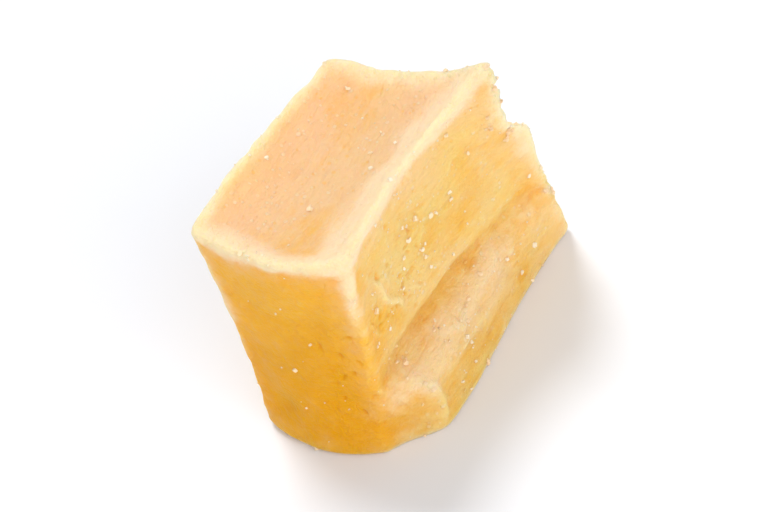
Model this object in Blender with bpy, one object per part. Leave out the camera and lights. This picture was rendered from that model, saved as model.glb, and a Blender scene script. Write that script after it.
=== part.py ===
"""A cube of dried mango: one knife-cut piece of fruit flesh, shrunk and curled as it dried.

The piece is a nominal box of WIDTH x DEPTH x HEIGHT. Drying moved its corners, bowed its edges
and sank its faces, so it is worked out in three steps: a finely cut cube is given rounded edges,
its corners, edges and faces are shifted by the amounts in SHIFTS, and the torn layer along the
foot of its right side is added as a groove with a lip below it.

X runs from the left side to the right, Y from the front to the back and Z up. The origin is at
the middle of the bounding box, on the flat base that the piece rests on. Run it with
blender --background --python part.py, or from Blender's text editor.
"""

import math

import bmesh
import bpy
from mathutils import Vector, noise

MM = 0.001

# The box that the knife cut, in millimetres.
WIDTH = 8.0
DEPTH = 12.0
HEIGHT = 12.2

# How far drying moved each place of the box, in millimetres. A place is named by its side along
# X, Y and Z: -1 is left, front or bottom, 1 is right, back or top, and 0 is halfway. Three sides
# name a corner, two an edge's middle and one a face's middle.
SHIFTS = {
    # The rim round the top, corner by corner.
    (-1, -1, 1): (0.0, 0.0, 0.0),
    (1, -1, 1): (0.0, 0.4, -0.1),
    (1, 1, 1): (0.45, 0.5, 0.45),
    (-1, 1, 1): (0.5, -0.9, -0.4),
    # The outline of the base.
    (-1, -1, -1): (0.6, -0.2, 0.0),
    (1, -1, -1): (-0.9, 0.1, 0.0),
    (1, 1, -1): (-0.1, 0.8, 0.0),
    (-1, 1, -1): (0.8, 0.5, 0.0),
    # The top edges sag between their corners, and the right one is drawn in.
    (0, -1, 1): (0.0, -0.5, -0.45),
    (1, 0, 1): (-1.1, 0.0, -0.6),
    (0, 1, 1): (0.0, -0.3, -0.5),
    (-1, 0, 1): (-0.2, 0.0, 0.15),
    # The upright edges.
    (-1, -1, 0): (0.25, 0.0, 0.0),
    (1, -1, 0): (-0.1, 0.1, 0.0),
    (1, 1, 0): (0.2, -0.4, 0.0),
    (-1, 1, 0): (0.3, -0.3, 0.0),
    # The edges of the base.
    (0, -1, -1): (0.2, -1.0, 0.0),
    (1, 0, -1): (0.1, 0.0, 0.0),
    (0, 1, -1): (0.0, 0.3, 0.0),
    (-1, 0, -1): (-0.3, 0.0, 0.0),
    # The faces sink between their rims. The base stays flat.
    (0, 0, 1): (0.0, 0.0, -0.75),
    (0, -1, 0): (0.0, 0.4, 0.0),
    (1, 0, 0): (-0.3, 0.0, 0.0),
    (-1, 0, 0): (0.6, 0.0, 0.0),
    (0, 1, 0): (0.0, -0.7, 0.0),
}
EDGE_POWER = 2.0  # an edge bows as a parabola
FACE_POWER = 3.0  # a face sinks faster near its rim

RIM_RADIUS = 0.5  # of every edge, in millimetres

# The corner at the front, right and top is worn down.
WORN_CORNER = (1, -1, 1)
WORN_SHIFT = (-0.45, 0.5, -0.35)  # in millimetres
WORN_REACH = 0.34  # as a share of half the box

# The torn layer along the foot of the right side, in millimetres.
GROOVE_HEIGHT = 4.0
GROOVE_DEPTH = 0.3
GROOVE_HALF_WIDTH = 0.6
GROOVE_END = 10.5  # the groove starts to run out here, along Y
LIP_FRONT = 1.5  # how far the lip stands out near the front
LIP_BACK = 0.3  # and at the back
LIP_START = 0.2  # the lip rises from the front edge here, along Y
LIP_FULL = 2.4  # and is whole here
LIP_SLOPE = 1.5  # the height over which the top of the lip slopes out
LIP_TOP_SHARE = 0.6  # the share of the lip's reach that this slope has

# The shoulder where the back spreads, towards the right, in millimetres.
SHOULDER_HEIGHT = 8.2
SHOULDER_SOFTNESS = 0.9
SHOULDER_REACH = 1.3

# Unevenness of the whole skin, in millimetres.
WAVE_LENGTH = 2.6
WAVE_HEIGHT = 0.13

CELLS = 22  # along each edge of the box
CROWDING = 0.8  # from 0 to 1, how much the cells crowd towards the edges

FLESH_COLOUR = (0.84, 0.42, 0.07, 1.0)
FLESH_ROUGHNESS = 0.55


def smooth_step(value, low, high):
    """0 below low, 1 above high, and a smooth curve between them."""
    share = min(1.0, max(0.0, (value - low) / (high - low)))
    return share * share * (3.0 - 2.0 * share)


def crowd(side):
    """Draws a coordinate from -1 to 1 towards the nearer end, so that the rims get finer cells."""
    angle = 0.5 * math.pi * CROWDING
    return math.sin(side * angle) / math.sin(angle)


def round_edges(place):
    """Moves a place on the sharp box, from -1 to 1 along each axis, onto the box with round edges."""
    half = Vector((WIDTH, DEPTH, HEIGHT)) / 2
    point = Vector(side * size for side, size in zip(place, half))
    core = Vector(
        max(RIM_RADIUS - size, min(size - RIM_RADIUS, value))
        for value, size in zip(point, half)
    )
    softened = core + RIM_RADIUS * (point - core).normalized()
    return Vector(value / size for value, size in zip(softened, half))


def pull(sides, place):
    """How strongly the shift that is named by sides acts at a place, from 0 to 1."""
    power = FACE_POWER if sides.count(0) == 2 else EDGE_POWER
    strength = 1.0
    for side, value in zip(sides, place):
        strength *= (1.0 - abs(value) ** power) if side == 0 else (1.0 + side * value) / 2
    return strength


def dry(place):
    """Where a place of the box is once its corners, edges and faces have moved, in millimetres."""
    point = Vector(
        (1.0 + side) / 2 * size for side, size in zip(place, (WIDTH, DEPTH, HEIGHT))
    )
    for sides, shift in SHIFTS.items():
        point += pull(sides, place) * Vector(shift)
    from_corner = (place - Vector(WORN_CORNER)).length / WORN_REACH
    return point + math.exp(-from_corner * from_corner) * Vector(WORN_SHIFT)


def torn_layer(place, point):
    """How far the groove and the lip move the right side at a point, along X."""
    on_right = smooth_step(place.x, 0.35, 1.0)
    along = smooth_step(point.y, LIP_START, LIP_FULL)
    from_groove = (point.z - GROOVE_HEIGHT) / GROOVE_HALF_WIDTH
    groove = GROOVE_DEPTH * math.exp(-from_groove * from_groove)
    groove *= 1.0 - smooth_step(point.y, GROOVE_END, DEPTH)
    reach = LIP_FRONT + (LIP_BACK - LIP_FRONT) * smooth_step(point.y, LIP_FULL, DEPTH)
    below = smooth_step(GROOVE_HEIGHT - point.z, 0.0, LIP_SLOPE)
    down = max(0.0, 1.0 - point.z / GROOVE_HEIGHT)
    lip = reach * below * (LIP_TOP_SHARE + (1.0 - LIP_TOP_SHARE) * down)
    return on_right * along * (lip - groove)


def shoulder(place, point):
    """How far the foot of the back spreads at a point, along Y."""
    on_back = smooth_step(place.y, 0.2, 1.0)
    to_right = (1.0 + place.x) / 2
    low = SHOULDER_HEIGHT - SHOULDER_SOFTNESS
    high = SHOULDER_HEIGHT + SHOULDER_SOFTNESS
    return SHOULDER_REACH * on_back * to_right * (1.0 - smooth_step(point.z, low, high))


def waver(place, point):
    """The small unevenness of the skin at a point. It fades out towards the flat base."""
    above_base = smooth_step(place.z, -1.0, -0.6)
    spot = point / WAVE_LENGTH
    apart = (Vector((0.0, 0.0, 0.0)), Vector((17.3, 4.1, 9.7)), Vector((5.9, 23.1, 1.3)))
    return WAVE_HEIGHT * above_base * Vector(noise.noise(spot + offset) for offset in apart)


def skin_point(corner_of_cell):
    """The point of the finished piece, in metres, for a vertex of the cube from -1 to 1."""
    place = round_edges(Vector(crowd(side) for side in corner_of_cell))
    point = dry(place)
    point += Vector((torn_layer(place, point), shoulder(place, point), 0.0))
    point += waver(place, point)
    return point * MM


def flatten_base(shape):
    """Merges the faces that lie in the base plane into one flat face."""
    lowest = min(vertex.co.z for vertex in shape.verts)
    close = 1e-8
    flat = [
        face for face in shape.faces if all(v.co.z - lowest < close for v in face.verts)
    ]
    bmesh.ops.dissolve_faces(shape, faces=flat, use_verts=True)


def centre(shape):
    """Moves the piece so that the origin is under the middle of its box, in the base plane."""
    lowest = Vector(min(v.co[axis] for v in shape.verts) for axis in range(3))
    highest = Vector(max(v.co[axis] for v in shape.verts) for axis in range(3))
    middle = (lowest + highest) / 2
    bmesh.ops.translate(shape, verts=shape.verts, vec=(-middle.x, -middle.y, -lowest.z))


def flesh_material():
    """The amber of dried mango."""
    material = bpy.data.materials.new("dried_flesh")
    material.use_nodes = True
    shader = material.node_tree.nodes["Principled BSDF"]
    shader.inputs["Base Color"].default_value = FLESH_COLOUR
    shader.inputs["Roughness"].default_value = FLESH_ROUGHNESS
    shader.inputs["Metallic"].default_value = 0.0
    return material


def build_flesh():
    """The whole piece as one closed mesh."""
    shape = bmesh.new()
    bmesh.ops.create_cube(shape, size=2.0)
    bmesh.ops.subdivide_edges(
        shape, edges=shape.edges[:], cuts=CELLS - 1, use_grid_fill=True
    )
    for vertex in shape.verts:
        vertex.co = skin_point(vertex.co)
    flatten_base(shape)
    centre(shape)
    mesh = bpy.data.meshes.new("mango_cube")
    shape.to_mesh(mesh)
    shape.free()
    mesh.shade_smooth()
    mesh.materials.append(flesh_material())
    return bpy.data.objects.new("mango_cube", mesh)


def main():
    for leftover in list(bpy.data.objects):
        bpy.data.objects.remove(leftover)
    parts = bpy.data.collections.new("mango_cube")
    bpy.context.scene.collection.children.link(parts)
    parts.objects.link(build_flesh())


main()
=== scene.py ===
"""The looks of one cube of dried mango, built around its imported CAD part.

The block of flesh stands for the CAD solid. It has the same dried form, with finer relief. Sugar
crystals and crumbs of flesh stick to its skin.

Lengths are in millimetres until a mesh is made. The block's own axes start at the front left
corner of its base: X runs to the right, Y to the back and Z up.
"""

import logging
import math
from abc import ABC, abstractmethod
from collections.abc import Mapping, Sequence
from dataclasses import dataclass, field
from enum import Enum
from functools import cached_property

import bmesh
import bpy
import numpy as np
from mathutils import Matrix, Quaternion, Vector, noise


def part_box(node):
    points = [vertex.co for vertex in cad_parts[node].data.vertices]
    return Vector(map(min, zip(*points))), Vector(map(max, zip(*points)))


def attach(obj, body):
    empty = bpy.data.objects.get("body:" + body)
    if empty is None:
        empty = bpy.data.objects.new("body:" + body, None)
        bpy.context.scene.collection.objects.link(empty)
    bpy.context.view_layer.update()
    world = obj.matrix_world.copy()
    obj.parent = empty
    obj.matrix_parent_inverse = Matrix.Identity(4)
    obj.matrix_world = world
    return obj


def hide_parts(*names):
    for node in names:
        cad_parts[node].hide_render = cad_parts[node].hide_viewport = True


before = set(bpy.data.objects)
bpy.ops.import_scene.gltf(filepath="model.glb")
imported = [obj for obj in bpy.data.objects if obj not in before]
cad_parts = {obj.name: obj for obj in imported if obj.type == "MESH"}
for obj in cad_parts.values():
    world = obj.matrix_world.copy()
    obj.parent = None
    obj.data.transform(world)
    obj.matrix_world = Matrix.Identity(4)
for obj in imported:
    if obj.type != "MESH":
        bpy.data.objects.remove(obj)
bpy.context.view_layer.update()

MM = 0.001
CAD_NODE = "mango_cube"
BODY = "root"

Pair = tuple[float, float]
Triple = tuple[float, float, float]
Points = np.ndarray  # a row of X, Y and Z for each point
Amounts = np.ndarray  # one number for each point
Faces = list[list[int]]  # the numbers of each face's points

log = logging.getLogger("mango")


class Side(Enum):
    """A face of the block, as the number of its axis and its direction along that axis."""

    LEFT = (0, -1)
    RIGHT = (0, 1)
    FRONT = (1, -1)
    BACK = (1, 1)
    BOTTOM = (2, -1)
    TOP = (2, 1)

    @property
    def axis(self) -> int:
        """The axis that the face is square to."""
        return self.value[0]

    @property
    def sign(self) -> int:
        """-1 or 1, the end of the axis that the face is at."""
        return self.value[1]

    @property
    def flat_axes(self) -> tuple[int, int]:
        """The two axes that lie in the face."""
        return tuple(axis for axis in range(3) if axis != self.axis)


OPPOSITE_SIDES = ((Side.LEFT, Side.RIGHT), (Side.FRONT, Side.BACK), (Side.BOTTOM, Side.TOP))


def smooth_step(value: Amounts, low: float, high: float) -> Amounts:
    """0 below low, 1 above high, and a smooth curve between them."""
    share = np.clip((value - low) / (high - low), 0.0, 1.0)
    return share * share * (3.0 - 2.0 * share)


def bell(value: Amounts, reach: float) -> Amounts:
    """1 where value is 0, falling on both sides to about a third at reach."""
    return np.exp(-((value / reach) ** 2))


def fade(value: Amounts, reach: float) -> Amounts:
    """1 up to a quarter of reach, a half at reach, and 0 from 1.75 times reach."""
    return 1.0 - smooth_step(value, 0.25 * reach, 1.75 * reach)


@dataclass(frozen=True)
class Ripple:
    """Smooth noise over the form. The offset is where in the noise it starts, so that two differ."""

    wavelength: float | Triple  # how far apart its lumps lie, along every axis or along each
    offset: Triple
    height: float = 1.0  # about the most that it rises or falls

    def at(self, points: Points) -> Amounts:
        """Reads the noise.

        Args:
            points: Where it is read.

        Returns:
            How high it is at each point, above or below 0.
        """
        spots = points / np.asarray(self.wavelength) + np.asarray(self.offset)
        heights = (noise.noise(spot) for spot in spots.tolist())
        return self.height * np.fromiter(heights, float, len(spots))


@dataclass(frozen=True)
class Dent:
    """A round bump on a face, or a dent where its height is below 0."""

    side: Side
    centre: Pair
    reach: float
    height: float

    def relief(self, points: Points, outward: Points) -> Amounts:
        """Works out the relief that it makes.

        Args:
            points: Points of the skin.
            outward: The direction straight out of the box at each.

        Returns:
            How far each point moves along its outward direction.
        """
        apart = points[:, self.side.flat_axes] - np.asarray(self.centre)
        facing = np.clip(outward[:, self.side.axis] * self.side.sign, 0.0, 1.0)
        return self.height * facing * bell(np.linalg.norm(apart, axis=1), self.reach)


@dataclass(frozen=True)
class Crease:
    """A raised line along a bent path on a face, or a cut where its height is below 0."""

    side: Side
    path: tuple[Pair, ...]
    half_width: float
    height: float
    taper: float = 0.3  # the share of the path over which each end runs out
    bluntness: float = 0.05  # how far past its ends it would run out, so that they end bluntly
    margin: float = 3.0  # how far from its path it is still worked out, in half widths
    rounds: int = 2  # how many times the corners of the path are cut off
    cut: float = 0.25  # the share of each straight that is cut off at either end

    @cached_property
    def curve(self) -> Points:
        """The path with its corners cut off, so that it bends smoothly.

        Returns:
            Two numbers for each of its points.
        """
        path = np.asarray(self.path)
        for _ in range(self.rounds):
            straights = np.diff(path, axis=0)
            near_ends = path[:-1] + straights * self.cut
            far_ends = path[:-1] + straights * (1.0 - self.cut)
            middle = np.stack([near_ends, far_ends], axis=1).reshape(-1, 2)
            path = np.concatenate([path[:1], middle[1:-1], path[-1:]])
        return path

    def relief(self, points: Points, outward: Points) -> Amounts:
        """Works out the relief that it makes.

        Args:
            points: Points of the skin.
            outward: The direction straight out of the box at each.

        Returns:
            How far each point moves along its outward direction.
        """
        path = self.curve
        spots = points[:, self.side.flat_axes]
        facing = outward[:, self.side.axis] * self.side.sign
        margin = self.margin * self.half_width
        near = (spots > path.min(axis=0) - margin) & (spots < path.max(axis=0) + margin)
        near = near.all(axis=1) & (facing > 0.0)
        apart = np.full(near.sum(), np.inf)
        along = np.zeros(near.sum())
        for number, (start, run) in enumerate(zip(path, np.diff(path, axis=0))):
            away = spots[near] - start
            share = np.clip(away @ run / (run @ run), 0.0, 1.0)
            distance = np.linalg.norm(away - share[:, None] * run, axis=1)
            along = np.where(distance < apart, (number + share) / (len(path) - 1), along)
            apart = np.minimum(apart, distance)
        height = np.zeros(len(points))
        ends = smooth_step(np.minimum(along, 1.0 - along), -self.bluntness, self.taper)
        height[near] = self.height * facing[near] * ends * bell(apart, self.half_width)
        return height


@dataclass(frozen=True)
class Wisps:
    """Short wavy lines in a patch of one face: raised ends of fibres, or pits left by them.

    Its middle and its spread give the patch. The wisps run at heading degrees from the face's
    second axis, and stray from it by about stray degrees. They are pits where their heights are
    below 0.
    """

    side: Side
    count: int
    middle: Pair
    spread: Pair
    heading: float
    stray: float
    length: Pair = (0.5, 1.5)
    half_width: Pair = (0.09, 0.15)
    height: Pair = (0.02, 0.07)
    bend: float = 0.35  # how much a wisp turns at each of its points, in radians
    run: float = 0.22  # from one of its points to the next

    def creases(self, chance: np.random.Generator) -> list[Crease]:
        """Draws the wisps.

        Args:
            chance: Where their random numbers come from.

        Returns:
            One crease for each wisp.
        """
        made = []
        for _ in range(self.count):
            start = np.array(self.middle) + chance.normal(size=2) * np.array(self.spread)
            turn = math.radians(self.heading + chance.normal() * self.stray)
            steps = max(2, round(chance.uniform(*self.length) / self.run))
            turns = turn + np.cumsum(chance.normal(size=steps) * self.bend)
            moves = np.stack([np.sin(turns), np.cos(turns)], axis=1) * self.run
            path = start + np.cumsum(moves, axis=0)
            width, height = chance.uniform(*self.half_width), chance.uniform(*self.height)
            made.append(Crease(self.side, tuple(map(tuple, path)), width, height))
        return made


@dataclass(frozen=True)
class Skin:
    """Points of the skin, with what is known of each."""

    place: Points  # on the round box
    point: Points
    outward: Points  # the direction straight out of the box
    height: Amounts  # how far the fine relief moved it


@dataclass(frozen=True)
class DriedForm:
    """The form of the whole cube: a knife-cut box whose corners, edges and faces moved in drying.

    A place on the box runs from -1 to 1 along each axis. The fields up to the slow waver say what
    the CAD part says, so that both have one form. The relief is finer than the CAD part has.
    """

    size: Triple = (8.0, 12.0, 12.2)
    rim_radius: float = 0.5
    edge_power: float = 2.0  # an edge bows as a parabola
    face_power: float = 3.0  # a face sinks faster near its rim
    # How far drying moved each place of the box. -1 is its left, front or bottom, 1 is its right,
    # back or top, and 0 is halfway.
    shifts: Mapping[tuple[int, int, int], Triple] = field(
        default_factory=lambda: {
            # The rim round the top, corner by corner.
            (-1, -1, 1): (0.0, 0.0, 0.0),
            (1, -1, 1): (0.0, 0.4, -0.1),
            (1, 1, 1): (0.45, 0.5, 0.45),
            (-1, 1, 1): (0.5, -0.9, -0.4),
            # The outline of the base.
            (-1, -1, -1): (0.6, -0.2, 0.0),
            (1, -1, -1): (-0.9, 0.1, 0.0),
            (1, 1, -1): (-0.1, 0.8, 0.0),
            (-1, 1, -1): (0.8, 0.5, 0.0),
            # The top edges sag between their corners, and the right one is drawn in.
            (0, -1, 1): (0.0, -0.5, -0.45),
            (1, 0, 1): (-1.1, 0.0, -0.6),
            (0, 1, 1): (0.0, -0.3, -0.5),
            (-1, 0, 1): (-0.2, 0.0, 0.15),
            # The upright edges.
            (-1, -1, 0): (0.25, 0.0, 0.0),
            (1, -1, 0): (-0.1, 0.1, 0.0),
            (1, 1, 0): (0.2, -0.4, 0.0),
            (-1, 1, 0): (0.3, -0.3, 0.0),
            # The edges of the base.
            (0, -1, -1): (0.2, -1.0, 0.0),
            (1, 0, -1): (0.1, 0.0, 0.0),
            (0, 1, -1): (0.0, 0.3, 0.0),
            (-1, 0, -1): (-0.3, 0.0, 0.0),
            # The faces sink between their rims.
            (0, 0, 1): (0.0, 0.0, -0.75),
            (0, -1, 0): (0.0, 0.4, 0.0),
            (1, 0, 0): (-0.3, 0.0, 0.0),
            (-1, 0, 0): (0.6, 0.0, 0.0),
            (0, 1, 0): (0.0, -0.7, 0.0),
        }
    )
    # The corner that is worn down, at the front, right and top.
    worn_corner: tuple[int, int, int] = (1, -1, 1)
    worn_shift: Triple = (-0.45, 0.5, -0.35)
    worn_reach: float = 0.34
    # The torn layer along the foot of the right side: a groove with a lip below it.
    right_from: float = 0.35  # the place along X where the right side sets in
    groove_height: float = 4.0
    groove_depth: float = 0.3
    groove_half_width: float = 0.6
    groove_end: float = 10.5  # the groove starts to run out here, along Y
    lip_front: float = 1.5  # how far the lip stands out near the front
    lip_back: float = 0.3  # and at the back
    lip_start: float = 0.2  # the lip rises from the front edge here, along Y
    lip_full: float = 2.4  # and is whole here
    lip_slope: float = 1.5  # the height over which the top of the lip slopes out
    lip_top_share: float = 0.6  # the share of the lip's reach that this slope has
    # The shoulder where the back spreads, towards the right.
    back_from: float = 0.2  # the place along Y where the back sets in
    shoulder_height: float = 8.2
    shoulder_softness: float = 0.9
    shoulder_reach: float = 1.3
    # The slow waver of the whole skin, along each axis.
    waves: tuple[Ripple, ...] = tuple(
        Ripple(2.6, offset) for offset in ((0.0, 0.0, 0.0), (17.3, 4.1, 9.7), (5.9, 23.1, 1.3))
    )
    wave_height: float = 0.13
    waver_full: float = -0.6  # the place along Z from which it is whole

    # Finer relief: lumps, puckers, fibres along Y in patches, and rims that wander.
    lumps: Ripple = Ripple(1.3, (9.2, 1.4, 4.4), 0.045)
    puckers: Ripple = Ripple(0.5, (2.2, 7.9, 6.1), 0.026)
    fibres: Ripple = Ripple((0.34, 3.2, 0.34), (3.1, 0.0, 8.2))
    fibre_height: float = 0.016
    fibre_patches: Ripple = Ripple(2.1, (31.0, 2.7, 5.5))
    patch_softness: float = 0.35
    faintest_fibres: float = 0.25  # the share of their height between the patches
    rim_wander: Ripple = Ripple(1.0, (6.6, 5.2, 0.3), 0.11)
    rim_wander_reach: float = 0.7
    base_hollow: float = 0.12
    # Ragged skin where the flesh tore: at the upper back right edge, the lip's top edge and the
    # lip's front edge.
    raggedness: Ripple = Ripple(0.38, (1.7, 8.8, 2.6), 0.3)
    edge_tear_on_right: float = 0.5  # how far it reaches
    edge_tear_on_back: float = 0.6
    edge_tear_rise: Pair = (6.0, 9.0)  # it sets in between these heights
    lip_tear_share: float = 0.3  # how ragged it is beside the first
    lip_tear_drop: float = 0.3  # below the groove
    lip_tear_height: float = 0.7
    lip_tear_reach: float = 0.5
    front_tear_share: float = 0.22
    front_tear_lead: float = 0.6  # before the place where the lip is whole
    front_tear_length: float = 1.0
    front_tear_reach: float = 0.7
    front_tear_softness: float = 0.4

    # The groove, the edge of the lip's front end, and the folds along the lip.
    marks: tuple[Dent | Crease, ...] = (
        Crease(
            Side.RIGHT,
            ((0.6, 3.2), (2.0, 3.9), (4.4, 3.85), (6.6, 4.2), (9.0, 4.0), (11.6, 4.3)),
            half_width=0.3,
            height=-0.12,
        ),
        Crease(Side.RIGHT, ((1.1, 3.5), (2.2, 3.1), (2.6, 1.9), (2.3, 0.8), (1.4, 0.1)), 0.24, 0.22),
        Crease(Side.RIGHT, ((2.6, 2.9), (4.8, 3.25), (6.8, 3.1), (9.0, 3.35), (11.4, 3.4)), 0.4, 0.17),
        Crease(Side.RIGHT, ((2.6, 1.9), (4.9, 2.1), (7.4, 1.9), (10.8, 2.2)), 0.2, 0.08),
        Crease(Side.RIGHT, ((3.4, 1.2), (6.0, 1.0), (8.2, 1.3), (11.0, 1.0)), 0.2, -0.06),
        # A loose thread above them, and finer lines.
        Crease(Side.RIGHT, ((1.9, 9.4), (2.6, 8.4), (2.6, 7.2), (3.6, 6.3), (3.7, 4.9)), 0.16, 0.17),
        Crease(Side.RIGHT, ((1.0, 8.0), (1.3, 6.6), (2.0, 5.6)), 0.14, 0.06),
        Crease(Side.RIGHT, ((5.0, 9.6), (6.6, 8.9), (7.9, 9.1)), 0.12, -0.05),
        # Lines and hollows of the other faces.
        Crease(Side.TOP, ((2.2, 3.0), (2.6, 5.6), (2.3, 8.6)), 0.18, 0.04),
        Crease(Side.LEFT, ((2.6, 8.6), (4.8, 7.7), (6.2, 6.0)), 0.16, 0.09),
        Crease(Side.LEFT, ((7.4, 3.1), (9.3, 2.6), (10.8, 3.2)), 0.14, -0.12),
        Crease(Side.BACK, ((2.3, 4.1), (3.4, 5.6), (5.6, 6.1)), 0.16, 0.1),
        Dent(Side.FRONT, (2.3, 2.2), 0.85, -0.13),
        Crease(Side.FRONT, ((1.3, 1.0), (2.3, 2.0), (3.5, 2.6)), 0.26, -0.06),
        Dent(Side.FRONT, (5.2, 7.4), 0.8, -0.07),
        Dent(Side.TOP, (5.2, 1.9), 1.1, -0.12),
        Dent(Side.TOP, (2.6, 8.8), 1.3, -0.08),
        Dent(Side.RIGHT, (6.4, 7.4), 1.1, -0.06),
        Dent(Side.LEFT, (8.2, 4.2), 0.9, -0.14),
        Dent(Side.BACK, (5.7, 9.2), 0.9, -0.1),
    )
    wisps: tuple[Wisps, ...] = (
        # Raised ends of fibres.
        Wisps(Side.RIGHT, 46, (5.2, 7.4), (2.8, 2.0), 20.0, 55.0),
        Wisps(Side.RIGHT, 26, (6.2, 2.2), (3.0, 1.0), 70.0, 35.0),
        Wisps(Side.TOP, 26, (4.0, 6.0), (1.9, 3.2), 0.0, 16.0, (0.8, 2.6), height=(0.012, 0.03)),
        Wisps(Side.FRONT, 34, (4.0, 6.5), (2.0, 3.4), 12.0, 40.0, (0.6, 2.0), height=(0.012, 0.04)),
        Wisps(Side.LEFT, 50, (6.0, 6.2), (3.2, 3.0), 80.0, 25.0, (0.6, 2.2)),
        Wisps(Side.BACK, 40, (4.0, 6.0), (1.9, 3.0), 30.0, 50.0),
        Wisps(Side.BOTTOM, 20, (4.0, 6.0), (1.8, 3.0), 0.0, 20.0, (0.8, 2.2), height=(0.012, 0.03)),
        # Pits.
        Wisps(
            Side.RIGHT,
            26,
            (3.7, 7.6),
            (1.1, 1.7),
            heading=50.0,
            stray=50.0,
            length=(0.2, 0.5),
            half_width=(0.12, 0.17),
            height=(-0.16, -0.08),
        ),
        Wisps(
            Side.FRONT,
            12,
            (6.2, 5.0),
            (1.2, 2.2),
            heading=20.0,
            stray=50.0,
            length=(0.2, 0.5),
            half_width=(0.12, 0.17),
            height=(-0.14, -0.07),
        ),
    )
    wisp_seed: int = 4

    @cached_property
    def lines(self) -> list[Crease]:
        """Every raised end of a fibre and every pit."""
        chance = np.random.default_rng(self.wisp_seed)
        return [crease for patch in self.wisps for crease in patch.creases(chance)]

    def gap(self, place: Points, side: Side) -> Amounts:
        """How far each place is from a side of the box, along the side's axis."""
        return self.size[side.axis] / 2 * (1.0 - side.sign * place[:, side.axis])

    def round_edges(self, place: Points) -> tuple[Points, Points]:
        """Moves places on the sharp box onto the box with round edges.

        Args:
            place: Places on the sharp box.

        Returns:
            The places on the round box, and the direction straight out of it at each.
        """
        half = np.asarray(self.size) / 2
        point = place * half
        core = np.clip(point, self.rim_radius - half, half - self.rim_radius)
        outward = point - core
        outward /= np.linalg.norm(outward, axis=1, keepdims=True)
        return (core + self.rim_radius * outward) / half, outward

    def pull(self, sides: tuple[int, int, int], place: Points) -> Amounts:
        """Works out how strongly one shift acts.

        Args:
            sides: The name of the shift.
            place: Places on the round box.

        Returns:
            0 to 1 for each place.
        """
        power = self.face_power if sides.count(0) == 2 else self.edge_power
        strength = np.ones(len(place))
        for axis, side in enumerate(sides):
            value = place[:, axis]
            strength *= (1.0 - np.abs(value) ** power) if side == 0 else (1.0 + side * value) / 2
        return strength

    def dry(self, place: Points) -> Points:
        """Moves the corners, edges and faces of the box.

        Args:
            place: Places on the round box.

        Returns:
            The point that each place has moved to.
        """
        point = (1.0 + place) / 2 * np.asarray(self.size)
        for sides, shift in self.shifts.items():
            point = point + self.pull(sides, place)[:, None] * np.asarray(shift)
        from_corner = np.linalg.norm(place - np.asarray(self.worn_corner), axis=1)
        return point + bell(from_corner, self.worn_reach)[:, None] * np.asarray(self.worn_shift)

    def torn_layer(self, place: Points, point: Points) -> Amounts:
        """Works out the groove and the lip of the right side.

        Args:
            place: Places on the round box.
            point: Where they are once dried.

        Returns:
            How far each point moves along X.
        """
        on_right = smooth_step(place[:, 0], self.right_from, 1.0)
        along = smooth_step(point[:, 1], self.lip_start, self.lip_full)
        groove = self.groove_depth * bell(point[:, 2] - self.groove_height, self.groove_half_width)
        groove *= 1.0 - smooth_step(point[:, 1], self.groove_end, self.size[1])
        fading = smooth_step(point[:, 1], self.lip_full, self.size[1])
        reach = self.lip_front + (self.lip_back - self.lip_front) * fading
        below = smooth_step(self.groove_height - point[:, 2], 0.0, self.lip_slope)
        down = np.clip(1.0 - point[:, 2] / self.groove_height, 0.0, None)
        lip = reach * below * (self.lip_top_share + (1.0 - self.lip_top_share) * down)
        return on_right * along * (lip - groove)

    def shoulder(self, place: Points, point: Points) -> Amounts:
        """Works out how the foot of the back spreads.

        Args:
            place: Places on the round box.
            point: Where they are once dried.

        Returns:
            How far each point moves along Y.
        """
        on_back = smooth_step(place[:, 1], self.back_from, 1.0)
        to_right = (1.0 + place[:, 0]) / 2
        low = self.shoulder_height - self.shoulder_softness
        high = self.shoulder_height + self.shoulder_softness
        return self.shoulder_reach * on_back * to_right * (1.0 - smooth_step(point[:, 2], low, high))

    def waver(self, place: Points, point: Points) -> Points:
        """Works out the slow unevenness of the skin, which fades out towards the flat base.

        Args:
            place: Places on the round box.
            point: Where they are once dried.

        Returns:
            How far each point moves along each axis.
        """
        above_base = smooth_step(place[:, 2], -1.0, self.waver_full)
        waves = [wave.at(point) for wave in self.waves]
        return self.wave_height * above_base[:, None] * np.stack(waves, axis=1)

    def torn(self, place: Points, point: Points) -> Amounts:
        """Finds where the flesh tore and wasn't cut.

        Args:
            place: Places on the round box.
            point: Where they are once dried.

        Returns:
            How ragged the skin is at each point, from 0 to 1.
        """
        _, along, up = point.T
        right, back = self.gap(place, Side.RIGHT), self.gap(place, Side.BACK)
        edge = bell(right, self.edge_tear_on_right) * bell(back, self.edge_tear_on_back)
        edge *= smooth_step(up, *self.edge_tear_rise)
        lip = bell(up - self.groove_height + self.lip_tear_drop, self.lip_tear_height)
        lip *= bell(right, self.lip_tear_reach)
        front = bell(along - self.lip_full + self.front_tear_lead, self.front_tear_length)
        front *= bell(right, self.front_tear_reach)
        low = self.groove_height - self.front_tear_softness
        high = self.groove_height + self.front_tear_softness
        front *= 1.0 - smooth_step(up, low, high)
        return np.maximum.reduce([edge, self.lip_tear_share * lip, self.front_tear_share * front])

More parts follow.
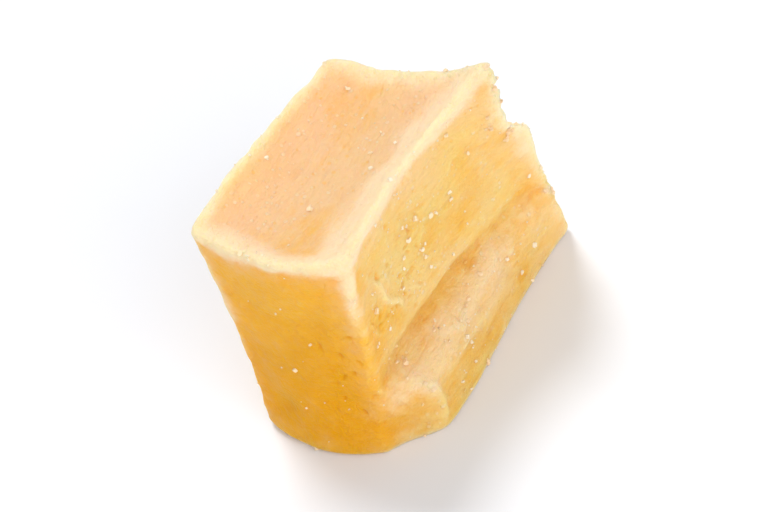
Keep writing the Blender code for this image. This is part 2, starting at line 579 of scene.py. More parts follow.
    def relief(self, place: Points, point: Points, outward: Points) -> Amounts:
        """Works out the fine relief of the skin.

        Args:
            place: Places on the round box.
            point: Where they are once dried.
            outward: The directions straight out of the box.

        Returns:
            How far each point moves along its outward direction.
        """
        gaps = [np.minimum(self.gap(place, one), self.gap(place, other)) for one, other in OPPOSITE_SIDES]
        from_edge = np.sort(np.stack(gaps, axis=1), axis=1)[:, 1]
        rim = bell(from_edge, self.rim_wander_reach)
        patchy = smooth_step(self.fibre_patches.at(point), -self.patch_softness, self.patch_softness)
        fibrous = self.faintest_fibres + (1.0 - self.faintest_fibres) * patchy
        height = self.lumps.at(point) + self.puckers.at(point)
        height += self.fibre_height * (1.0 - 2.0 * np.abs(self.fibres.at(point))) * fibrous
        height += rim * self.rim_wander.at(point)
        height += self.torn(place, point) * self.raggedness.at(point)
        for mark in (*self.marks, *self.lines):
            height += mark.relief(point, outward)
        under = np.clip(-outward[:, 2], 0.0, 1.0)
        return height * (1.0 - under) - self.base_hollow * under * (1.0 - rim)

    def skin(self, place: Points) -> Skin:
        """Makes the finished skin.

        Args:
            place: Places on the sharp box.

        Returns:
            The skin at each of them.
        """
        place, outward = self.round_edges(place)
        point = self.dry(place)
        torn, spread = self.torn_layer(place, point), self.shoulder(place, point)
        point = point + np.stack([torn, spread, np.zeros(len(point))], axis=1)
        point = point + self.waver(place, point)
        height = self.relief(place, point, outward)
        return Skin(place, point + height[:, None] * outward, outward, height)


class Signal:
    """A number from a node's socket. Python's operators on it add Math nodes."""

    def __init__(self, graph: "NodeGraph", socket: bpy.types.NodeSocket) -> None:
        """Wraps one output socket of a graph."""
        self.graph = graph
        self.socket = socket

    def math(self, operation: str, first: "Signal | float", second: "Signal | float") -> "Signal":
        """Adds a Math node of that operation for the two values."""
        return self.graph.node("ShaderNodeMath", {"operation": operation}, {0: first, 1: second})

    def __add__(self, other: "Signal | float") -> "Signal":
        """This plus other."""
        return self.math("ADD", self, other)

    def __sub__(self, other: "Signal | float") -> "Signal":
        """This minus other."""
        return self.math("SUBTRACT", self, other)

    def __rsub__(self, other: "Signal | float") -> "Signal":
        """Other minus this."""
        return self.math("SUBTRACT", other, self)

    def __mul__(self, other: "Signal | float") -> "Signal":
        """This times other."""
        return self.math("MULTIPLY", self, other)

    __radd__ = __add__
    __rmul__ = __mul__

    def most(self, other: "Signal | float") -> "Signal":
        """The larger of this and other."""
        return self.math("MAXIMUM", self, other)

    def step(self, low: float, high: float) -> "Signal":
        """0 below low, 1 above high, and a smooth curve between them."""
        inputs = {"Value": self, "From Min": low, "From Max": high}
        return self.graph.node("ShaderNodeMapRange", {"interpolation_type": "SMOOTHSTEP"}, inputs)


Value = Signal | float | Sequence[float]
Colour = tuple[float, float, float, float]


class NodeGraph:
    """The nodes of one new material, or of the world."""

    def __init__(self, owner: bpy.types.Material | bpy.types.World) -> None:
        """Empties the owner's node tree, to fill it anew.

        Args:
            owner: What the nodes are for.
        """
        owner.use_nodes = True
        self.owner = owner
        self.tree = owner.node_tree
        self.tree.nodes.clear()

    def node(
        self,
        kind: str,
        settings: Mapping[str, object] | None = None,
        inputs: Mapping[str | int, Value] | None = None,
        output: str | int = 0,
    ) -> Signal:
        """Adds one node.

        Args:
            kind: The node's type.
            settings: Its settings, by name. They are set before its sockets.
            inputs: The value or the link of each socket, by the socket's name or number.
            output: The name or number of the output that is wanted.

        Returns:
            That output.
        """
        made = self.tree.nodes.new(kind)
        for name, setting in (settings or {}).items():
            setattr(made, name, setting)
        for name, value in (inputs or {}).items():
            if isinstance(value, Signal):
                self.tree.links.new(value.socket, made.inputs[name])
            else:
                made.inputs[name].default_value = value
        return Signal(self, made.outputs[output])

    def place(self, scale: Triple) -> Signal:
        """Reads the point of the surface.

        Args:
            scale: What its X, Y and Z in millimetres are multiplied by.

        Returns:
            The scaled point.
        """
        point = self.node("ShaderNodeTexCoord", output="Object")
        per_metre = tuple(value / MM for value in scale)
        return self.node("ShaderNodeVectorMath", {"operation": "MULTIPLY"}, {0: point, 1: per_metre})

    def painted(self, name: str) -> Signal:
        """An amount that the mesh holds for each of its points."""
        return self.node("ShaderNodeAttribute", {"attribute_name": name}, output="Fac")

    def cloud(self, scale: Triple, detail: float = 2.0, warp: float = 0.0) -> Signal:
        """Noise from 0 to 1 with so many lumps in a millimetre along each axis."""
        inputs = {"Vector": self.place(scale), "Scale": 1.0, "Detail": detail, "Distortion": warp}
        return self.node("ShaderNodeTexNoise", inputs=inputs)

    def dots(self, fineness: float, largest: float, softness: float = 0.12) -> Signal:
        """Scattered round dots of every size.

        Args:
            fineness: How many cells there are in a millimetre. Each has one dot.
            largest: The radius of the largest dots, in cells.
            softness: How wide their soft edges are, in cells.

        Returns:
            1 in a dot and 0 between them.
        """
        inputs = {"Vector": self.place((fineness, fineness, fineness)), "Scale": 1.0}
        away = self.node("ShaderNodeTexVoronoi", inputs=inputs, output="Distance")
        size = self.node("ShaderNodeTexVoronoi", inputs=inputs, output="Color")
        return (size * largest - away).step(0.0, softness)

    def blend(self, share: Value, under: Value, over: Value) -> Signal:
        """A colour that goes from under to over as share goes from 0 to 1."""
        return self.node("ShaderNodeMix", {"data_type": "RGBA"}, {0: share, 6: under, 7: over}, 2)

    def raised(self, height: Signal, distance: float, strength: float) -> Signal:
        """A bumped normal, for a relief of that height in millimetres where height is 1."""
        inputs = {"Height": height, "Distance": distance * MM, "Strength": strength}
        return self.node("ShaderNodeBump", inputs=inputs)

    def finish(self, **inputs: Value) -> bpy.types.Material:
        """Adds the shader with those sockets, by their names with _ for a space.

        Args:
            **inputs: The value or the link of each socket.

        Returns:
            The finished material.
        """
        named = {name.replace("_", " "): value for name, value in inputs.items()}
        shader = self.node("ShaderNodeBsdfPrincipled", inputs=named)
        self.show(shader, "ShaderNodeOutputMaterial")
        return self.owner

    def show(self, shader: Signal, kind: str) -> None:
        """Links the shader to an output node of that kind."""
        made = self.tree.nodes.new(kind)
        self.tree.links.new(shader.socket, made.inputs["Surface"])


@dataclass(frozen=True)
class FleshFinish:
    """Dried flesh: clear gold inside, frosted faces, straw-coloured patches and pale dry rims, with
    painted shade and painted highlights.
    """

    name: str = "dried_flesh"
    gold: Colour = (0.90, 0.452, 0.03, 1.0)
    # deep is the deeper gold: partly the flesh's own, partly painted shade
    deep: Colour = (0.82, 0.372, 0.002, 1.0)
    peach: Colour = (0.87, 0.565, 0.31, 1.0)
    straw: Colour = (0.88, 0.605, 0.18, 1.0)
    # rim is the colour of the pale rims, also of the painted highlights and the ledge's painted light
    rim: Colour = (0.97, 0.72, 0.46, 1.0)
    dust: Colour = (0.93, 0.79, 0.58, 1.0)
    light_depth: float = 1.2  # how far light spreads in the flesh
    light_colour: Triple = (1.0, 0.72, 0.35)
    clearness: float = 0.8  # the share of the light that goes in
    gloss: float = 0.11
    # The lumps of each noise to a millimetre, along each axis. Drifts of colour are the largest.
    drift: Triple = (0.32, 0.26, 0.32)
    mottle: Triple = (1.5, 0.9, 1.5)
    grit: Triple = (9.0, 8.0, 9.0)
    streak: Triple = (3.6, 0.32, 3.6)
    wrinkle: Triple = (2.6, 1.4, 2.6)
    sugar_dots: Pair = (3.4, 0.46)  # how many in a millimetre, and the largest
    clear_dots: Pair = (2.9, 0.36)
    relief: float = 0.21  # the height of the bumps

    def material(self) -> bpy.types.Material:
        """Makes the material, which reads the amounts that FleshBlock paints on its mesh.

        Returns:
            The material.
        """
        graph = NodeGraph(bpy.data.materials.new(self.name))
        frost, crest, rim = graph.painted("frost"), graph.painted("crest"), graph.painted("rim")
        drift = graph.cloud(self.drift) - 0.5
        mottle = graph.cloud(self.mottle, 4.0, 0.4) - 0.5
        grit = graph.cloud(self.grit, 3.0) - 0.5
        streak = graph.cloud(self.streak, 4.0) * graph.painted("along")
        wrinkle = graph.cloud(self.wrinkle, 5.0, 0.8)
        crusted = (frost + crest * 0.3).step(0.25, 0.9) * mottle.step(-0.15, 0.1)
        sugar = graph.dots(*self.sugar_dots) * crusted
        clear = graph.dots(*self.clear_dots) * frost.step(0.3, 0.8)

        # The gold of the flesh, with the frost over it. The gold deepens partly as the flesh's own
        # deeper gold and partly as painted shade towards the base. In hollows and the groove band it
        # deepens and the frost thins, as painted shade; on ridges the frost thickens, as a painted
        # highlight.
        deepened = graph.painted("depth") + drift * 0.9 + mottle * 0.6 - crest * 0.3
        golden = graph.blend(deepened.step(0.0, 1.0), self.gold, self.deep)
        strawed = graph.painted("straw") + drift * 0.8
        frosting = graph.blend(strawed.step(0.0, 1.0), self.peach, self.straw)
        bloom = mottle * 0.6 + grit * 0.3 + streak.step(0.4, 0.7) * 0.12
        frosted = (frost + bloom + crest.most(-0.4) * frost * 0.7).step(0.0, 1.0)
        colour = graph.blend(frosted, golden, frosting)

        # Clear dots, dots of sugar and the pale rims lie over both. The rims are paler still on ridges,
        # as a painted highlight, and carry the ledge's painted light.
        colour = graph.blend(clear * 0.3, colour, self.gold)
        colour = graph.blend(sugar * 0.45, colour, self.dust)
        rimmed = rim + crest.most(0.0) * 0.35 + mottle * rim * 1.1 + grit * rim * 0.5
        colour = graph.blend(rimmed.step(0.05, 0.95), colour, self.rim)

        height = streak * 0.7 + wrinkle * 0.8 + grit * 0.3 + sugar * 0.25 - clear * 0.1
        return graph.finish(
            Base_Color=colour,
            Roughness=0.4 + frosted * 0.2 + grit * 0.2,
            Normal=graph.raised(height, self.relief, 1.0),
            Subsurface_Weight=self.clearness,
            Subsurface_Radius=self.light_colour,
            Subsurface_Scale=self.light_depth * MM,
            Specular_IOR_Level=self.gloss,
        )


@dataclass(frozen=True)
class SugarFinish:
    """Sugar crystals, half dissolved into the flesh."""

    name: str = "sugar_crystal"
    clear: Colour = (0.95, 0.84, 0.66, 1.0)
    stained: Colour = (0.93, 0.72, 0.44, 1.0)
    cloud: Triple = (7.0, 7.0, 7.0)  # its lumps to a millimetre
    gloss: float = 0.6

    def material(self) -> bpy.types.Material:
        """Makes the material, which reads how clear each crystal is.

        Returns:
            The material.
        """
        graph = NodeGraph(bpy.data.materials.new(self.name))
        cloudy = graph.cloud(self.cloud)
        share = (graph.painted("clear") + (cloudy - 0.5) * 0.6).step(0.0, 1.0)
        return graph.finish(
            Base_Color=graph.blend(share, self.stained, self.clear),
            Roughness=0.12 + cloudy * 0.25,
            Specular_IOR_Level=self.gloss,
        )


@dataclass(frozen=True)
class FloorFinish:
    """The plain pale floor."""

    name: str = "pale_floor"
    colour: Colour = (0.88, 0.90, 0.945, 1.0)
    tooth: Triple = (0.3, 0.3, 0.3)  # its lumps to a millimetre
    gloss: float = 0.1

    def material(self) -> bpy.types.Material:
        """Makes the material, even but for a trace of tooth in its roughness.

        Returns:
            The material.
        """
        graph = NodeGraph(bpy.data.materials.new(self.name))
        rough = 0.7 + graph.cloud(self.tooth) * 0.1
        return graph.finish(Base_Color=self.colour, Roughness=rough, Specular_IOR_Level=self.gloss)


def mesh_lists(shape: bmesh.types.BMesh) -> tuple[Points, Faces]:
    """Lists what a shape is made of, and frees it.

    Args:
        shape: The shape.

    Returns:
        Its points and its faces.
    """
    shape.verts.index_update()
    points = np.array([vertex.co[:] for vertex in shape.verts])
    faces = [[vertex.index for vertex in face.verts] for face in shape.faces]
    shape.free()
    return points, faces


def make_piece(
    name: str,
    points: Points,
    faces: Faces,
    material: bpy.types.Material,
    amounts: Mapping[str, Amounts],
    smooth: bool,
) -> bpy.types.Object:
    """Makes a mesh object and links it to the scene.

    Args:
        name: The piece's name.
        points: Its points in the row frame, in millimetres.
        faces: The numbers of each face's points.
        material: Its finish.
        amounts: What the finish reads for each point, by name.
        smooth: Whether its faces are shaded as one smooth skin.

    Returns:
        The new object.
    """
    mesh = bpy.data.meshes.new(name)
    mesh.from_pydata((points * MM).tolist(), [], faces)
    for label, values in amounts.items():
        held = mesh.attributes.new(label, "FLOAT", "POINT")
        held.data.foreach_set("value", values.astype(np.float32))
    mesh.materials.append(material)
    if smooth:
        mesh.shade_smooth()
    piece = bpy.data.objects.new(name, mesh)
    bpy.context.scene.collection.objects.link(piece)
    return piece


@dataclass(frozen=True)
class PaleEdge:
    """An edge of the block that is pale: it dried pale, and on some edges it is partly a painted
    highlight.

    Its two sides come first. It is so pale at most, and the paleness reaches so far on each side.
    Beyond a stretch along the edge it is much less pale.
    """

    one: Side
    other: Side
    strength: float
    reach_on_one: float
    reach_on_other: float
    stretch: Pair = (-10.0, 30.0)
    beyond: float = 0.2  # the share of the paleness beyond the stretch
    ending: float = 1.2  # how far the change at its ends reaches each way

    def paleness(self, form: DriedForm, skin: Skin, wander: Amounts) -> Amounts:
        """How pale the skin is for it.

        Args:
            form: The block's form.
            skin: Where on the skin.
            wander: What stretches its reach at each point.

        Returns:
            0 to 1 for each point.
        """
        on_one = fade(form.gap(skin.place, self.other) / wander, self.reach_on_one)
        on_other = fade(form.gap(skin.place, self.one) / wander, self.reach_on_other)
        along = skin.point[:, 3 - self.one.axis - self.other.axis]
        start, end = self.stretch
        inside = smooth_step(along, start - self.ending, start + self.ending)
        inside *= 1.0 - smooth_step(along, end - self.ending, end + self.ending)
        return self.strength * on_one * on_other * (self.beyond + (1.0 - self.beyond) * inside)


@dataclass(frozen=True)
class FaceLook:
    """How one face of the block looks: frosted, straw-coloured in its frost, and deep in its gold, where
    the deep gold is partly painted shade.
    """

    frost: float
    straw: float
    depth: float


@dataclass(frozen=True)
class Seat:
    """How the form's own axes lie in the CAD solid's box. All but scale is in millimetres."""

    box_low: Points
    box_high: Points
    start: Points  # the form's lowest corner on its own axes
    low: Points  # and in the box
    scale: Points

    @classmethod
    def in_box(cls, points: Points, clearance: float) -> "Seat":
        """Fits the form to the CAD solid's box.

        Args:
            points: Every point of the skin.
            clearance: What is left free inside the box, except under the base.

        Returns:
            The seat.
        """
        box_low, box_high = (np.array(corner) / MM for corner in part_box(CAD_NODE))
        low = box_low + np.array((clearance, clearance, 0.0))
        start = points.min(axis=0)
        scale = (box_high - clearance - low) / (points.max(axis=0) - start)
        return cls(box_low, box_high, start, low, scale)

    def seated(self, points: Points) -> Points:
        """Points of the form in the row frame, in millimetres."""
        return (points - self.start) * self.scale + self.low

    def holds(self, points: Points) -> bool:
        """Whether points of the form stay inside the CAD solid's box."""
        seated = self.seated(points)
        return bool((seated > self.box_low).all() and (seated < self.box_high).all())


@dataclass
class FleshBlock:
    """The block of flesh: the dried form as a fine closed mesh."""

    form: DriedForm
    finish: FleshFinish = FleshFinish()
    seat: Seat | None = None  # known once it is built
    cells: int = 124  # along each edge
    crowding: float = 0.5  # from 0 to 1, how much the cells crowd towards the edges
    clearance: float = 0.06  # between the flesh and the CAD solid's box, for what lies on it

    # How the faces look, and how far past an edge the look of the next face reaches. The deep gold of
    # each face is partly its own and partly painted shade; the front is deepest.
    face_looks: Mapping[Side, FaceLook] = field(
        default_factory=lambda: {
            Side.LEFT: FaceLook(0.35, 0.5, 0.9),
            Side.RIGHT: FaceLook(0.72, 0.65, 0.45),
            Side.FRONT: FaceLook(0.06, 0.3, 1.0),
            Side.BACK: FaceLook(0.55, 0.6, 0.7),
            Side.BOTTOM: FaceLook(0.4, 0.5, 0.8),
            # The top's heavy frost is partly painted light: the top is paler as the face that the light
            # falls on.
            Side.TOP: FaceLook(1.3, 0.1, 0.2),
        }
    )
    blending: float = 1.3
    base_shade_heights: Pair = (1.0, 12.0)  # painted shade: the gold deepens and darkens from the second height down to the first
    crest_height: float = 0.12  # the relief that counts as a full crest
    # The frost lies in patches, and each height in the places below says how much of it is worn
    # off. It is thicker where that is below 0. The first place, on the top, is partly painted shade:
    # it bares the deeper gold in the hollow there.
    large_patches: Ripple = Ripple(2.3, (8.1, 3.7, 2.9))
    small_patches: Ripple = Ripple(0.9, (1.3, 6.1, 4.7), 0.5)
    patchiness: float = 0.4
    rubbed_and_shaded_places: tuple[Dent, ...] = (
        Dent(Side.TOP, (4.7, 3.3), 1.9, 0.33),
        Dent(Side.TOP, (3.2, 7.6), 1.2, 0.14),
        Dent(Side.RIGHT, (9.4, 7.2), 1.5, 0.15),
        Dent(Side.RIGHT, (1.7, 6.4), 1.5, 0.36),
        Dent(Side.FRONT, (1.2, 9.4), 1.5, -0.1),
        Dent(Side.LEFT, (4.2, 7.6), 1.6, 0.15),
        Dent(Side.BACK, (5.2, 9.4), 1.2, 0.15),
    )
    # The pale edges, with a reach that wanders. Most dried pale; on the top right edge and the upper
    # front right edge the pale is partly a painted highlight.
    pale_edges: tuple[PaleEdge, ...] = (
        PaleEdge(Side.TOP, Side.RIGHT, 1.3, 1.55, 0.66),
        PaleEdge(Side.TOP, Side.FRONT, 0.95, 1.05, 0.6),
        PaleEdge(Side.TOP, Side.LEFT, 0.85, 0.55, 0.45),
        PaleEdge(Side.TOP, Side.BACK, 0.95, 0.9, 0.6),
        PaleEdge(Side.FRONT, Side.RIGHT, 0.7, 0.6, 0.5, (8.3, 30.0), 0.12),
        PaleEdge(Side.RIGHT, Side.BACK, 0.85, 0.8, 0.7, (4.0, 30.0), 0.5),
        PaleEdge(Side.BACK, Side.LEFT, 0.6, 0.7, 0.7, (-10.0, 8.0), 0.4),
        PaleEdge(Side.LEFT, Side.FRONT, 0.5, 0.7, 0.7, (5.0, 30.0), 0.4),
        PaleEdge(Side.BOTTOM, Side.RIGHT, 0.6, 0.8, 0.4),
        PaleEdge(Side.BOTTOM, Side.FRONT, 0.35, 0.8, 0.3),
        PaleEdge(Side.BOTTOM, Side.LEFT, 0.45, 0.8, 0.35),
        PaleEdge(Side.BOTTOM, Side.BACK, 0.5, 0.8, 0.35),
    )
    reach_wander: Ripple = Ripple(1.9, (4.4, 0.9, 3.3), 0.4)
    # The groove band is painted shade: deeper gold with less frost. The lip has less frost, and a
    # pale ledge runs along it, which is paler near the front. The ledge's paleness is partly the
    # skin's own pale frost and partly painted light, lifting it out of the shade of the face above.
    groove_lift: float = 0.05  # from the middle of the groove up to where its painted shade is strongest
    groove_reach: float = 0.27
    groove_shade: float = 0.9
    lip_onset: float = 0.6
    lip_thinning: float = 0.1
    lip_smoothing: float = 0.5
    ledge_drop: float = 1.1  # from the middle of the groove
    ledge_reach: float = 0.85
    ledge_pale_and_painted_light: Pair = (0.34, 0.6)  # at the back and near the front
    ledge_fading: Pair = (1.5, 6.5)  # where the one goes over into the other, along Y

    def grid(self) -> tuple[Points, Faces]:
        """Cuts a cube into fine cells.

        Returns:
            Its places, from -1 to 1 along each axis, and its faces.
        """
        shape = bmesh.new()
        bmesh.ops.create_cube(shape, size=2.0)
        bmesh.ops.subdivide_edges(shape, edges=shape.edges[:], cuts=self.cells - 1, use_grid_fill=True)
        place, faces = mesh_lists(shape)
        angle = 0.5 * math.pi * self.crowding
        return np.sin(place * angle) / math.sin(angle), faces

    def shares(self, skin: Skin) -> dict[Side, Amounts]:
        """Works out which face each point belongs to. Near an edge it belongs to both.

        Args:
            skin: Where on the skin.

        Returns:
            The share of each side in each point. The shares of a point add up to 1.
        """
        belonging = {}
        for side in Side:
            facing = np.clip(skin.outward[:, side.axis] * side.sign, 0.0, 1.0)
            belonging[side] = facing**2 + fade(self.form.gap(skin.place, side), self.blending)
        total = sum(belonging.values())
        return {side: amount / total for side, amount in belonging.items()}

    def amounts(self, skin: Skin) -> dict[str, Amounts]:
        """Works out what the finish reads.

        Args:
            skin: Where on the skin.

        Returns:
            The amounts of each point, by name.
        """
        shares = self.shares(skin)
        frost = sum(share * self.face_looks[side].frost for side, share in shares.items())
        straw = sum(share * self.face_looks[side].straw for side, share in shares.items())
        depth = sum(share * self.face_looks[side].depth for side, share in shares.items())

        _, along, up = skin.point.T
        on_right, below = shares[Side.RIGHT], self.form.groove_height - up
        groove = bell(-below - self.groove_lift, self.groove_reach) * on_right
        lip = smooth_step(below, 0.0, self.lip_onset) * on_right
        at_back, in_front = self.ledge_pale_and_painted_light
        ledge = bell(below - self.ledge_drop, self.ledge_reach) * on_right
        ledge *= at_back + (in_front - at_back) * (1.0 - smooth_step(along, *self.ledge_fading))

        wander = 1.0 + self.reach_wander.at(skin.point)
        rims = [edge.paleness(self.form, skin, wander) for edge in self.pale_edges]
        patches = self.large_patches.at(skin.point) + self.small_patches.at(skin.point)
        patchy = np.minimum(frost * (1.0 + self.patchiness * patches), 1.0)
        rubbed_and_shaded = sum(place.relief(skin.point, skin.outward) for place in self.rubbed_and_shaded_places)
        # The relief goes into the colour too: painted shade in hollows and the groove band, a painted
        # highlight on ridges.
        crests = np.clip(skin.height / self.crest_height, -1.0, 1.0)
        return {
            # the pale edges and the ledge: partly their own paleness, partly painted highlight and
            # painted light
            "rim": np.maximum.reduce([*rims, ledge * wander]),
            "frost": np.clip(patchy - self.lip_thinning * lip - rubbed_and_shaded, 0.0, 1.0),
            "straw": straw - self.lip_thinning * lip,
            # painted shade: the gold is deeper towards the base
            "depth": depth * (1.0 - smooth_step(up, *self.base_shade_heights)),
            "crest": crests * (1.0 - self.lip_smoothing * lip) - self.groove_shade * groove,
            "along": 1.0 - skin.outward[:, 1] ** 2,
        }

    def build(self) -> bpy.types.Object:
        """Makes the block's mesh and dresses it.

        Returns:
            The piece.
        """
        place, faces = self.grid()
        skin = self.form.skin(place)
        skin.point[:, 2] = np.maximum(skin.point[:, 2], 0.0)
        self.seat = Seat.in_box(skin.point, self.clearance)
        points = self.seat.seated(skin.point)
        amounts, material = self.amounts(skin), self.finish.material()
        piece = make_piece("flesh_block", points, faces, material, amounts, True)
        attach(piece, BODY)
        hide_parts(CAD_NODE)
        return piece


def spots_on(side: Side, spots: Points) -> Points:
    """Places on the sharp box.

    Args:
        side: The face that they are on.
        spots: Two numbers from -1 to 1 for each, along the face's flat axes.

    Returns:
        Three numbers from -1 to 1 for each.
    """
    place = np.full((len(spots), 3), float(side.sign))
    place[:, side.flat_axes] = spots
    return place


@dataclass(frozen=True)
class Patch:
    """Where grains lie: so many tries round the middle of a patch of one face."""

    side: Side
    tries: int
    middle: Pair
    spread: Pair
    limit: float = 0.98  # how near to the edges of the face they may lie, where 1 is at an edge

    def spots(self, form: DriedForm, chance: np.random.Generator) -> Points:
        """Draws the tries.

        Args:
            form: The form that they lie on.
            chance: Where their random numbers come from.

        Returns:
            Places on the sharp box.
        """
        half = np.array(form.size)[list(self.side.flat_axes)] / 2
        shifts = chance.normal(size=(self.tries, 2)) * np.array(self.spread)
        spots = (np.array(self.middle) + shifts) / half - 1.0
        return spots_on(self.side, np.clip(spots, -self.limit, self.limit))


@dataclass
class Grains(ABC):
    """Small loose things of one kind that stick to the skin, as one mesh."""

    block: FleshBlock
    name: str
    seed: int
    half_sizes: Pair
    smallness: float  # how much the small ones outnumber the large
    patches: tuple[Patch, ...]
    sink: Pair = (-0.35, 0.2)  # from the deepest to the highest, in half sizes
    drifts: Ripple = Ripple(1.5, (2.2, 9.4, 7.3))
    drift_edge: Pair = (-0.2, 0.5)
    between: float = 0.1  # the share of them that is left between the drifts

    @abstractmethod
    def unit(self) -> tuple[Points, Faces]:
        """The points and faces of one of them, 2 across."""

    @abstractmethod
    def shaped(self, unit: Points, chance: np.random.Generator) -> Points:
        """One of them with a form of its own, 2 across."""

    @abstractmethod
    def amounts(self, skin: Skin, chance: np.random.Generator) -> dict[str, Amounts]:
        """What the finish reads, for one of them at each point of the skin."""

    @abstractmethod
    def material(self) -> bpy.types.Material:
        """Their finish."""

    def scatter(self, chance: np.random.Generator) -> Skin:
        """Finds where they lie. They gather in drifts.

        Args:
            chance: Where the random numbers come from.

        Returns:
            The skin under each of them.
        """
        spots = np.concatenate([patch.spots(self.block.form, chance) for patch in self.patches])
        skin = self.block.form.skin(spots)
        drift = smooth_step(self.drifts.at(skin.point), *self.drift_edge)
        kept = chance.uniform(size=len(spots)) < self.between + (1.0 - self.between) * drift
        return Skin(skin.place[kept], skin.point[kept], skin.outward[kept], skin.height[kept])

    def build(self) -> bpy.types.Object:
        """Makes all of them as one mesh and dresses it. What would leave the CAD box is left out.

        Returns:
            The piece.
        """
        chance = np.random.default_rng(self.seed)
        skin = self.scatter(chance)
        amounts = self.amounts(skin, chance)
        unit, unit_faces = self.unit()
        smallest, largest = self.half_sizes
        points, faces, held = [], [], []
        for number, (centre, outward) in enumerate(zip(skin.point, skin.outward)):
            half = smallest + (largest - smallest) * chance.uniform() ** self.smallness
            turn = np.array(Quaternion(chance.normal(size=4)).normalized().to_matrix())
            middle = centre + outward * half * chance.uniform(*self.sink)
            shape = half * self.shaped(unit, chance) @ turn.T + middle
            if self.block.seat.holds(shape):
                first = len(points) * len(unit)
                faces += [[first + corner for corner in face] for face in unit_faces]
                points.append(shape)
                held.append(number)
        placed = self.block.seat.seated(np.concatenate(points))
        painted = {name: np.repeat(values[held], len(unit)) for name, values in amounts.items()}
        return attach(make_piece(self.name, placed, faces, self.material(), painted, False), BODY)


@dataclass
class SugarCrystals(Grains):
    """Crystals of sugar, angular and half sunk."""

    name: str = "sugar_crystals"
    seed: int = 7
    half_sizes: Pair = (0.035, 0.15)
    smallness: float = 3.0
    patches: tuple[Patch, ...] = (
        Patch(Side.RIGHT, 260, (5.0, 7.8), (3.0, 2.2)),
        Patch(Side.RIGHT, 130, (6.0, 2.2), (3.2, 1.2)),
        Patch(Side.TOP, 90, (4.2, 6.0), (2.2, 3.6)),
        Patch(Side.FRONT, 50, (4.0, 5.5), (2.0, 3.2)),
        Patch(Side.LEFT, 220, (6.5, 6.0), (3.4, 3.2)),
        Patch(Side.BACK, 230, (4.0, 6.0), (2.2, 3.4)),
        Patch(Side.BOTTOM, 70, (4.0, 6.0), (2.0, 3.2)),
    )
    wear: float = 0.25  # of the corners, from 0 for a cube to 1 for a ball
    flatness: Pair = (0.4, 1.0)  # the least and the most that each is along an axis
    unevenness: float = 0.12
    clearness: Pair = (0.1, 0.5)  # on bare flesh, and how much more of it on frost
    clearness_spread: float = 0.4

    def unit(self) -> tuple[Points, Faces]:
        """Makes a cube with its corners worn off.

        Returns:
            Its points and its faces.
        """
        shape = bmesh.new()
        bmesh.ops.create_cube(shape, size=2.0)
        bmesh.ops.subdivide_edges(shape, edges=shape.edges[:], cuts=1, use_grid_fill=True)
        points, faces = mesh_lists(shape)
        return points / np.linalg.norm(points, axis=1, keepdims=True) ** self.wear, faces

    def shaped(self, unit: Points, chance: np.random.Generator) -> Points:
        """A crystal of its own length, width and height."""
        lengths = chance.uniform(*self.flatness, 3)
        return unit * lengths * (1.0 + self.unevenness * chance.normal(size=unit.shape))

    def amounts(self, skin: Skin, chance: np.random.Generator) -> dict[str, Amounts]:
        """Works out how clear each crystal is: clearer where the skin is frosted.

        Args:
            skin: The skin under each of them.
            chance: Where the random numbers come from.

        Returns:
            The amount of each crystal, by its name.
        """
        bare, more = self.clearness
        clear = bare + more * self.block.amounts(skin)["frost"]
        spread = chance.uniform(-self.clearness_spread, self.clearness_spread, len(clear))
        return {"clear": clear + spread}

    def material(self) -> bpy.types.Material:
        """The sugar's finish."""
        return SugarFinish().material()


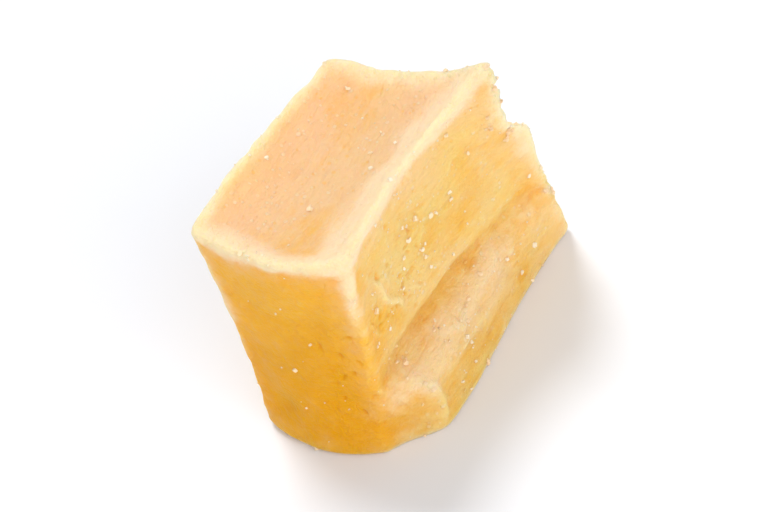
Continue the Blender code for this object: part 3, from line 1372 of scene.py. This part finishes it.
@dataclass
class FleshCrumbs(Grains):
    """Crumbs of flesh that the knife and the tearing left."""

    name: str = "flesh_crumbs"
    seed: int = 5
    half_sizes: Pair = (0.05, 0.17)
    smallness: float = 1.8
    patches: tuple[Patch, ...] = (
        Patch(Side.RIGHT, 50, (11.3, 9.8), (0.4, 1.5)),
        Patch(Side.RIGHT, 44, (5.5, 3.3), (3.4, 0.35)),
        Patch(Side.RIGHT, 26, (1.5, 2.0), (0.5, 1.2)),
        Patch(Side.RIGHT, 24, (6.0, 0.5), (3.5, 0.3)),
        Patch(Side.BACK, 36, (5.5, 7.9), (2.0, 0.4)),
        Patch(Side.BACK, 26, (7.5, 9.8), (0.3, 1.5)),
        Patch(Side.LEFT, 30, (6.0, 0.6), (4.0, 0.4)),
        Patch(Side.LEFT, 20, (11.0, 6.0), (0.4, 3.0)),
    )
    sink: Pair = (-0.45, 0.1)
    drifts: Ripple = Ripple(0.9, (2.2, 9.4, 7.3))
    lump_length: float = 0.9  # where a crumb is 2 across
    lump_height: float = 0.45
    farthest: float = 50.0  # how far into the noise the lumps of a crumb may start
    flatness: Pair = (0.55, 1.0)  # the least and the most that each is along an axis
    paleness: Pair = (0.8, 1.8)  # how much paler they are than the skin, at least and at most

    def unit(self) -> tuple[Points, Faces]:
        """Makes a ball.

        Returns:
            Its points and its faces.
        """
        shape = bmesh.new()
        bmesh.ops.create_icosphere(shape, subdivisions=2, radius=1.0)
        return mesh_lists(shape)

    def shaped(self, unit: Points, chance: np.random.Generator) -> Points:
        """Makes a lumpy crumb.

        Args:
            unit: The points of a ball.
            chance: Where its random numbers come from.

        Returns:
            The points of the crumb.
        """
        offset = tuple(chance.uniform(0.0, self.farthest, 3))
        lumps = Ripple(self.lump_length, offset, self.lump_height).at(unit)
        return unit * (1.0 + lumps)[:, None] * chance.uniform(*self.flatness, 3)

    def amounts(self, skin: Skin, chance: np.random.Generator) -> dict[str, Amounts]:
        """Works out what the finish reads: the amounts of the skin, only paler.

        Args:
            skin: The skin under each of them.
            chance: Where the random numbers come from.

        Returns:
            The amounts of each crumb, by name.
        """
        amounts = self.block.amounts(skin)
        amounts["crest"] = amounts["crest"] + chance.uniform(*self.paleness, len(skin.point))
        return amounts

    def material(self) -> bpy.types.Material:
        """The flesh's finish, too small a piece for light to go through."""
        return FleshFinish("flesh_crumb", clearness=0.0).material()


@dataclass(frozen=True)
class SoftLight:
    """A large soft light, far enough away to light the whole floor evenly."""

    name: str
    towards: Triple  # from the cube to the light
    width: float  # how wide it looks from the cube, in degrees
    strength: float

    def build(self) -> None:
        """Hangs the light."""
        lamp = bpy.data.lights.new(self.name, "SUN")
        lamp.angle = math.radians(self.width)
        lamp.energy = self.strength
        hung = bpy.data.objects.new(self.name, lamp)
        hung.rotation_mode = "QUATERNION"
        hung.rotation_quaternion = (-Vector(self.towards)).to_track_quat("-Z", "Y")
        bpy.context.scene.collection.objects.link(hung)


@dataclass(frozen=True)
class Studio:
    """The floor, the light and the camera."""

    azimuth: float = 45.3  # of the camera, in degrees
    elevation: float = 45.6
    roll: float = 19.8
    lens: float = 240.0
    sensor: float = 36.0
    near_clip: float = 0.01  # in metres
    far_clip: float = 10.0
    frame_shape: float = 768 / 512  # its width over its height
    fill: float = 0.78  # the share of the frame's height that the cube takes
    floor_size: float = 4000.0
    floor_drop: float = 0.01
    sky: float = 0.5  # how strong the even light is
    lights: tuple[SoftLight, ...] = (
        SoftLight("key_light", (-0.4, 0.27, 0.88), 18.0, 1.6),
        SoftLight("fill_light", (0.88, -0.34, 0.5), 60.0, 1.46),
        SoftLight("front_light", (-0.3, -0.9, 0.3), 60.0, 0.26),
    )

    def build(self) -> None:
        """Lays the floor, hangs the lights and sets up the camera."""
        self.lay_floor()
        self.light_world()
        for light in self.lights:
            light.build()
        self.set_camera()
        bpy.context.scene.view_settings.view_transform = "Standard"

    def lay_floor(self) -> None:
        """Lays a flat floor a hair below the cube's base."""
        half = self.floor_size / 2
        corners = ((-half, -half), (half, -half), (half, half), (-half, half))
        points = np.array([(*corner, -self.floor_drop) for corner in corners])
        make_piece("floor", points, [[0, 1, 2, 3]], FloorFinish().material(), {}, False)

    def light_world(self) -> None:
        """Fills the studio with even light from a backdrop that itself looks white."""
        graph = NodeGraph(bpy.data.worlds.new("studio"))
        seen = graph.node("ShaderNodeLightPath", output="Is Camera Ray")
        inputs = {"Color": (1.0, 1.0, 1.0, 1.0), "Strength": seen * (1.0 - self.sky) + self.sky}
        graph.show(graph.node("ShaderNodeBackground", inputs=inputs), "ShaderNodeOutputWorld")
        bpy.context.scene.world = graph.owner

    def set_camera(self) -> None:
        """Points the camera at the middle of what it sees of the cube, and frames it."""
        around, up = math.radians(self.azimuth), math.radians(self.elevation)
        back = Vector((math.sin(around) * math.cos(up), -math.cos(around) * math.cos(up), math.sin(up)))
        turn = (-back).to_track_quat("-Z", "Y") @ Quaternion((0.0, 0.0, 1.0), -math.radians(self.roll))
        points = np.array([vertex.co[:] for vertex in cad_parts[CAD_NODE].data.vertices])
        seen = points @ np.array(turn.to_matrix())
        middle = (seen.min(axis=0) + seen.max(axis=0)) / 2
        spread = seen.max(axis=0) - seen.min(axis=0)
        distance = spread[1] / self.fill * self.frame_shape * self.lens / self.sensor
        camera = bpy.data.cameras.new("camera")
        camera.lens = self.lens
        camera.sensor_width = self.sensor
        camera.clip_start = self.near_clip
        camera.clip_end = self.far_clip
        held = bpy.data.objects.new("camera", camera)
        held.rotation_mode = "QUATERNION"
        held.rotation_quaternion = turn
        held.location = turn @ Vector(middle) + back * distance
        bpy.context.scene.collection.objects.link(held)
        bpy.context.scene.camera = held


def main() -> None:
    """Builds the cube's pieces and the studio, and reports each piece."""
    logging.basicConfig(level=logging.INFO, format="%(name)s: %(message)s")
    flesh = FleshBlock(DriedForm())
    parts = (
        flesh,
        SugarCrystals(flesh),
        FleshCrumbs(flesh),
    )
    for part in parts:
        piece = part.build()
        log.info("%s: %d faces", piece.name, len(piece.data.polygons))
    Studio().build()


if __name__ == "__main__":
    main()
